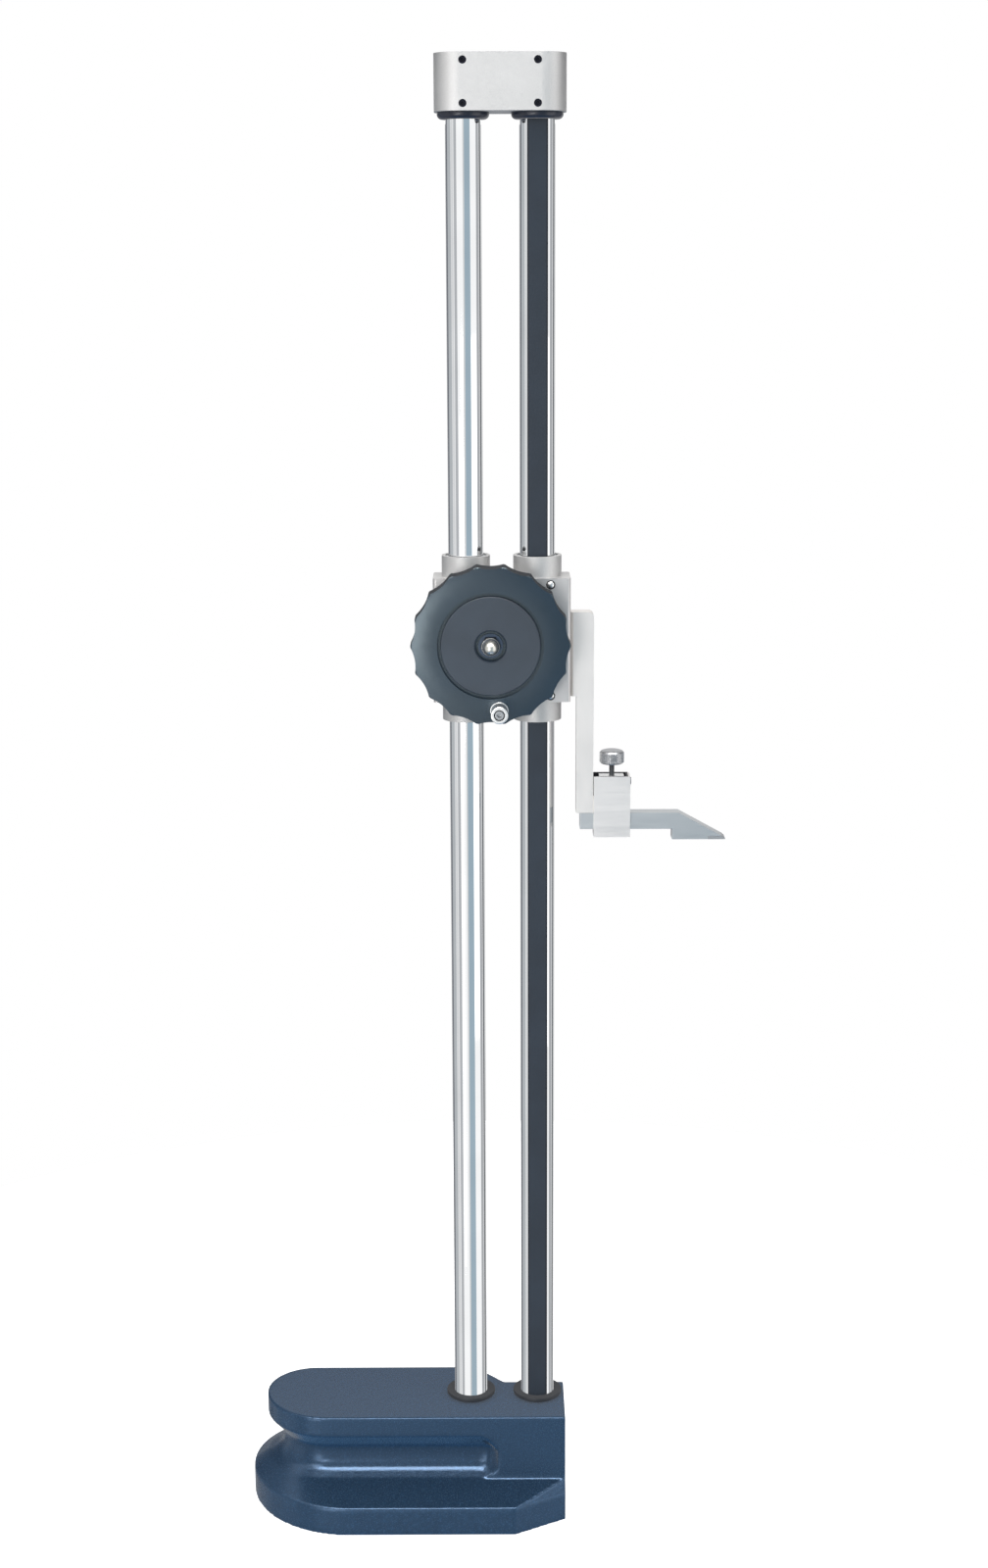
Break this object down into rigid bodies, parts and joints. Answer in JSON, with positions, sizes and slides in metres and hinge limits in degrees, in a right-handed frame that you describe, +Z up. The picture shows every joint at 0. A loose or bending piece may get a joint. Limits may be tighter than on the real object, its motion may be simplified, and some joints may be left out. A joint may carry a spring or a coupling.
{
  "type": "height gauge",
  "caption": "Digital height gauge with twin round columns on a heavy base, a carriage moved by handwheel, rack and pinion, and a clamped scriber.",
  "frame": {"origin": "on the lapped underside of the base, midway between the axes of the two columns", "axes": "+Z up along the columns, +X along the scriber towards its tip, -Y towards the handwheel"},
  "size_m": [0.266, 0.109, 0.799],
  "materials": {
    "base_paint": "hammered dark blue paint on iron",
    "column_chrome": "polished hard chrome",
    "scale_film": "smooth dark grey film",
    "black_rubber": "satin black",
    "cap_silver": "satin pale silver",
    "carriage_silver": "satin silver grey",
    "bright_steel": "polished",
    "dark_steel": "blackened",
    "plain_steel": "turned",
    "bearing_brass": "turned",
    "wheel_plastic": "satin dark blue grey",
    "disc_plastic": "satin grey",
    "housing_plastic": "fine moulded texture",
    "panel_plastic": "fine moulded texture",
    "window_clear": "clear",
    "lcd_grey": "grey green",
    "board_green": "solder mask",
    "cell_steel": "pressed",
    "arm_steel": "satin ground",
    "scriber_steel": "ground",
    "carbide_grey": "ground carbide",
    "button_red": "moulded",
    "button_yellow": "moulded",
    "button_grey": "moulded"
  },
  "bodies": {
    "stand": {"base_casting": "base_paint", "main_column": "column_chrome", "scale_column": "column_chrome", "scale_strip": "scale_film", "column_bolts": "dark_steel", "lower_buffer_seats": "black_rubber", "lower_buffers": "black_rubber", "upper_buffers": "black_rubber", "top_cap": "cap_silver", "cap_set_screws": "dark_steel"},
    "carriage": {"carriage_block": "carriage_silver", "front_cover": "carriage_silver", "cover_screws": "bright_steel", "main_column_bushes": "plain_steel", "scale_column_bushes": "plain_steel", "pinion_bushes": "bearing_brass", "sensor_board": "board_green", "lock_pad": "bearing_brass", "measuring_arm": "arm_steel", "arm_screws": "plain_steel", "readout_housing": "housing_plastic", "readout_panel": "panel_plastic", "display_window": "window_clear", "lcd_module": "lcd_grey", "circuit_board": "board_green", "coin_cell": "cell_steel", "panel_screws": "plain_steel"},
    "handwheel_group": {"pinion_shaft": "plain_steel", "handwheel": "wheel_plastic", "face_disc": "disc_plastic", "hub_washer": "plain_steel", "hub_nut": "bright_steel", "knob_collar": "bright_steel", "knob_screw": "plain_steel"},
    "crank_knob_sleeve": {"crank_knob": "bright_steel"},
    "lock_screw": {"lock_knob": "plain_steel"},
    "scriber_clamp": {"clamp_frame": "arm_steel", "clamp_bridge": "arm_steel", "bridge_screw": "dark_steel"},
    "clamp_thumbscrew": {"clamp_screw": "plain_steel"},
    "scriber": {"scriber_bar": "scriber_steel", "carbide_tip": "carbide_grey"},
    "power_key": {"power_button": "button_red"},
    "zero_key": {"zero_button": "button_yellow"},
    "units_key": {"units_button": "button_grey"},
    "hold_key": {"hold_button": "button_grey"},
    "battery_lid": {"battery_cover": "panel_plastic"},
    "port_lid": {"port_cover": "housing_plastic"}
  },
  "joints": [
    {"name": "carriage_slide", "type": "slide", "parent": "stand", "child": "carriage", "axis": [0, 0, 1], "range_m": [-0.3899, 0.221]},
    {"name": "handwheel_turn", "type": "hinge", "parent": "carriage", "child": "handwheel_group", "pos_m": [-0.006, -0.0325, 0.4998], "axis": [0, 1, 0], "continuous": true},
    {"name": "knob_spin", "type": "hinge", "parent": "handwheel_group", "child": "crank_knob_sleeve", "pos_m": [-0.00152, -0.0325, 0.46579], "axis": [0, 1, 0], "continuous": true},
    {"name": "lock_turn", "type": "hinge", "parent": "carriage", "child": "lock_screw", "pos_m": [-0.019, 0.0175, 0.476], "axis": [0, -1, 0], "range_deg": [-360, 135]},
    {"name": "clamp_slide", "type": "slide", "parent": "carriage", "child": "scriber_clamp", "axis": [1, 0, 0], "range_m": [0, 0.003]},
    {"name": "clamp_screw_turn", "type": "hinge", "parent": "scriber_clamp", "child": "clamp_thumbscrew", "pos_m": [0.0593, 0, 0.43], "axis": [0, 0, -1], "range_deg": [-720, 0]},
    {"name": "scriber_slide", "type": "slide", "parent": "scriber_clamp", "child": "scriber", "axis": [1, 0, 0], "range_m": [-0.005, 0.015]},
    {"name": "power_press", "type": "slide", "parent": "carriage", "child": "power_key", "axis": [0, -1, 0], "range_m": [0, 0.0008], "stiffness_N_per_m": 300},
    {"name": "zero_press", "type": "slide", "parent": "carriage", "child": "zero_key", "axis": [0, -1, 0], "range_m": [0, 0.0008], "stiffness_N_per_m": 300},
    {"name": "units_press", "type": "slide", "parent": "carriage", "child": "units_key", "axis": [0, -1, 0], "range_m": [0, 0.0008], "stiffness_N_per_m": 300},
    {"name": "hold_press", "type": "slide", "parent": "carriage", "child": "hold_key", "axis": [0, -1, 0], "range_m": [0, 0.0008], "stiffness_N_per_m": 300},
    {"name": "battery_lid_slide", "type": "slide", "parent": "carriage", "child": "battery_lid", "axis": [0, 0, -1], "range_m": [0, 0.012]},
    {"name": "port_lid_slide", "type": "slide", "parent": "carriage", "child": "port_lid", "axis": [0, 0, -1], "range_m": [0, 0.008]}
  ],
  "couplings": [
    {"joint": "handwheel_turn", "follows": "carriage_slide", "rad_per_m": -192.31}
  ]
}
